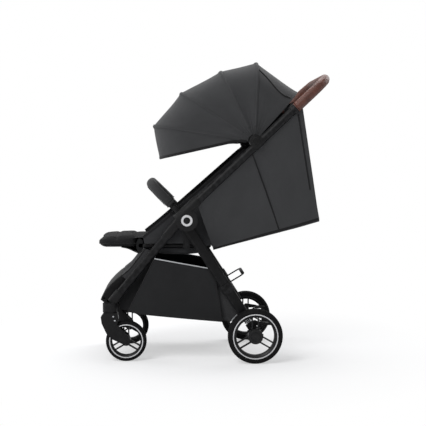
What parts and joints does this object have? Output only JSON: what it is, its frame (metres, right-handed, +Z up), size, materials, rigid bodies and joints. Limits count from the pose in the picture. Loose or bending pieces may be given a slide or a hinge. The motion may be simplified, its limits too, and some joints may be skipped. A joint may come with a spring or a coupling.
{
  "type": "baby stroller",
  "caption": "Light folding stroller with a reclining seat, folding hood, bumper bar, basket, swivelling front wheels and sprung, braked rear wheels.",
  "frame": {"origin": "on the floor under the middle of the overall box", "axes": "+Z up, the stroller faces -X, +Y towards its right side"},
  "size_m": [0.8161, 0.5, 1.0483],
  "materials": {
    "frame": "black anodised satin",
    "plastic": "fine moulded grain",
    "fabric": "charcoal plain weave",
    "mesh_fabric": "dark open weave",
    "webbing": "woven webbing",
    "leather": "brown stitched leather",
    "steel": "bright zinc",
    "rubber": "matt foam rubber",
    "rim": "satin moulded"
  },
  "bodies": {
    "front_frame": {"front_leg_left": "frame", "front_leg_right": "frame", "hub_plates": "plastic", "seat_frame": "frame", "seat_board": "plastic", "seat_pad": "fabric", "foot_plate": "plastic", "foot_apron": "mesh_fabric", "basket": "mesh_fabric", "lap_straps": "webbing", "buckle": "plastic", "seat_wings": "fabric", "caster_sockets": "plastic"},
    "buckle_button": {"buckle_button": "steel"},
    "rear_frame": {"rear_leg_left": "frame", "rear_leg_right": "frame", "rear_crossbar": "frame", "suspension_springs": "steel"},
    "fold_lever": {"fold_lever": "frame"},
    "push_frame": {"push_arm_left": "frame", "push_arm_right": "frame", "handle_bar": "frame", "handle_cover": "leather", "hub_covers": "plastic", "fold_pins": "steel", "hood_clips": "plastic", "side_curtains": "fabric", "rear_curtain": "fabric", "hood_panel_rear": "fabric"},
    "backrest": {"backrest_frame": "frame", "backrest_pad": "fabric", "shoulder_straps": "webbing", "recline_strap": "webbing"},
    "calf_rest": {"calf_board": "plastic", "calf_pad": "fabric"},
    "bumper": {"bumper_bar": "frame", "bumper_cover": "fabric"},
    "hood_rear": {"bow_rear": "plastic", "hood_panel_upper": "fabric"},
    "hood_upper": {"bow_upper": "plastic", "hood_panel_middle": "fabric"},
    "hood_middle": {"bow_middle": "plastic", "hood_panel_front": "fabric"},
    "hood_front": {"bow_front": "plastic", "hood_panel_visor": "fabric"},
    "visor": {"bow_visor": "plastic"},
    "axle_carrier_left": {"axle_carrier_left": "plastic"},
    "brake_pedal_left": {"brake_pedal_left": "plastic"},
    "caster_left": {"fork_left": "plastic"},
    "front_wheel_left": {"front_rim_left": "rim", "front_tyre_left": "rubber"},
    "rear_wheel_left": {"rear_rim_left": "rim", "rear_tyre_left": "rubber"},
    "axle_carrier_right": {"axle_carrier_right": "plastic"},
    "brake_pedal_right": {"brake_pedal_right": "plastic"},
    "caster_right": {"fork_right": "plastic"},
    "front_wheel_right": {"front_rim_right": "rim", "front_tyre_right": "rubber"},
    "rear_wheel_right": {"rear_rim_right": "rim", "rear_tyre_right": "rubber"}
  },
  "joints": [
    {"name": "main_fold", "type": "hinge", "parent": "front_frame", "child": "push_frame", "pos_m": [-0.1, 0, 0.498], "axis": [0, -1, 0], "range_deg": [0, 125], "deforming": ["seat_wings", "side_curtains", "rear_curtain"]},
    {"name": "rear_leg_fold", "type": "hinge", "parent": "front_frame", "child": "rear_frame", "pos_m": [-0.1, 0, 0.498], "axis": [0, 1, 0], "range_deg": [0, 53.51], "deforming": ["basket"]},
    {"name": "recline", "type": "hinge", "parent": "push_frame", "child": "backrest", "pos_m": [-0.006, 0, 0.416], "axis": [0, 1, 0], "range_deg": [-47, 0]},
    {"name": "calf_rest_tilt", "type": "hinge", "parent": "front_frame", "child": "calf_rest", "pos_m": [-0.262, 0, 0.404], "axis": [0, -1, 0], "range_deg": [0, 46]},
    {"name": "bumper_pull", "type": "slide", "parent": "front_frame", "child": "bumper", "axis": [-0.7071, 0, 0.7071], "range_m": [0, 0.035]},
    {"name": "buckle_press", "type": "slide", "parent": "front_frame", "child": "buckle_button", "axis": [0, 0, -1], "range_m": [0, 0.003], "stiffness_N_per_m": 600, "springref_m": -0.002},
    {"name": "fold_lever_press", "type": "hinge", "parent": "rear_frame", "child": "fold_lever", "pos_m": [0.04108, 0, 0.25782], "axis": [0, 1, 0], "range_deg": [0, 24], "stiffness_Nm_per_rad": 1, "springref_deg": -22.92},
    {"name": "hood_rear_fold", "type": "hinge", "parent": "push_frame", "child": "hood_rear", "pos_m": [0.13706, 0, 0.76999], "axis": [0, 1, 0], "range_deg": [0, 26.01], "deforming": ["hood_panel_rear"]},
    {"name": "hood_upper_fold", "type": "hinge", "parent": "hood_rear", "child": "hood_upper", "pos_m": [0.13706, 0, 0.76999], "axis": [0, 1, 0], "range_deg": [0, 20.01], "deforming": ["hood_panel_upper"]},
    {"name": "hood_slide_back", "type": "hinge", "parent": "hood_upper", "child": "hood_middle", "pos_m": [0.13706, 0, 0.76999], "axis": [0, 1, 0], "range_deg": [0, 26], "deforming": ["hood_panel_middle"]},
    {"name": "hood_front_fold", "type": "hinge", "parent": "hood_middle", "child": "hood_front", "pos_m": [0.13706, 0, 0.76999], "axis": [0, 1, 0], "range_deg": [0, 17.51], "deforming": ["hood_panel_front"]},
    {"name": "visor_fold", "type": "hinge", "parent": "hood_front", "child": "visor", "pos_m": [0.13706, 0, 0.76999], "axis": [0, 1, 0], "range_deg": [0, 14.01], "deforming": ["hood_panel_visor"]},
    {"name": "suspension_left", "type": "slide", "parent": "rear_frame", "child": "axle_carrier_left", "axis": [-0.5391, -0.0216, 0.842], "range_m": [0, 0.01], "stiffness_N_per_m": 9000, "springref_m": -0.012, "deforming": ["suspension_springs"]},
    {"name": "rear_wheel_spin_left", "type": "hinge", "parent": "axle_carrier_left", "child": "rear_wheel_left", "pos_m": [0.137, -0.23, 0.0955], "axis": [0, 1, 0], "continuous": true},
    {"name": "brake_left", "type": "hinge", "parent": "axle_carrier_left", "child": "brake_pedal_left", "pos_m": [0.1384, -0.205, 0.1365], "axis": [0, 1, 0], "range_deg": [0, 11]},
    {"name": "caster_swivel_left", "type": "hinge", "parent": "front_frame", "child": "caster_left", "pos_m": [-0.365, -0.165, 0.18], "axis": [0, 0, 1], "continuous": true},
    {"name": "front_wheel_spin_left", "type": "hinge", "parent": "caster_left", "child": "front_wheel_left", "pos_m": [-0.312, -0.165, 0.0715], "axis": [0, 1, 0], "continuous": true},
    {"name": "suspension_right", "type": "slide", "parent": "rear_frame", "child": "axle_carrier_right", "axis": [-0.5391, 0.0216, 0.842], "range_m": [0, 0.01], "stiffness_N_per_m": 9000, "springref_m": -0.012},
    {"name": "rear_wheel_spin_right", "type": "hinge", "parent": "axle_carrier_right", "child": "rear_wheel_right", "pos_m": [0.137, 0.23, 0.0955], "axis": [0, 1, 0], "continuous": true},
    {"name": "brake_right", "type": "hinge", "parent": "axle_carrier_right", "child": "brake_pedal_right", "pos_m": [0.1384, 0.205, 0.1365], "axis": [0, 1, 0], "range_deg": [0, 11.01]},
    {"name": "caster_swivel_right", "type": "hinge", "parent": "front_frame", "child": "caster_right", "pos_m": [-0.365, 0.165, 0.18], "axis": [0, 0, 1], "continuous": true},
    {"name": "front_wheel_spin_right", "type": "hinge", "parent": "caster_right", "child": "front_wheel_right", "pos_m": [-0.312, 0.165, 0.0715], "axis": [0, 1, 0], "continuous": true}
  ],
  "couplings": [
    {"joint": "rear_leg_fold", "follows": "main_fold", "ratio": 0.428},
    {"joint": "hood_rear_fold", "follows": "main_fold", "ratio": 0.208},
    {"joint": "hood_upper_fold", "follows": "main_fold", "ratio": 0.16},
    {"joint": "hood_front_fold", "follows": "hood_slide_back", "ratio": 0.67308},
    {"joint": "visor_fold", "follows": "hood_slide_back", "ratio": 0.53846},
    {"joint": "brake_right", "follows": "brake_left", "ratio": 1}
  ]
}
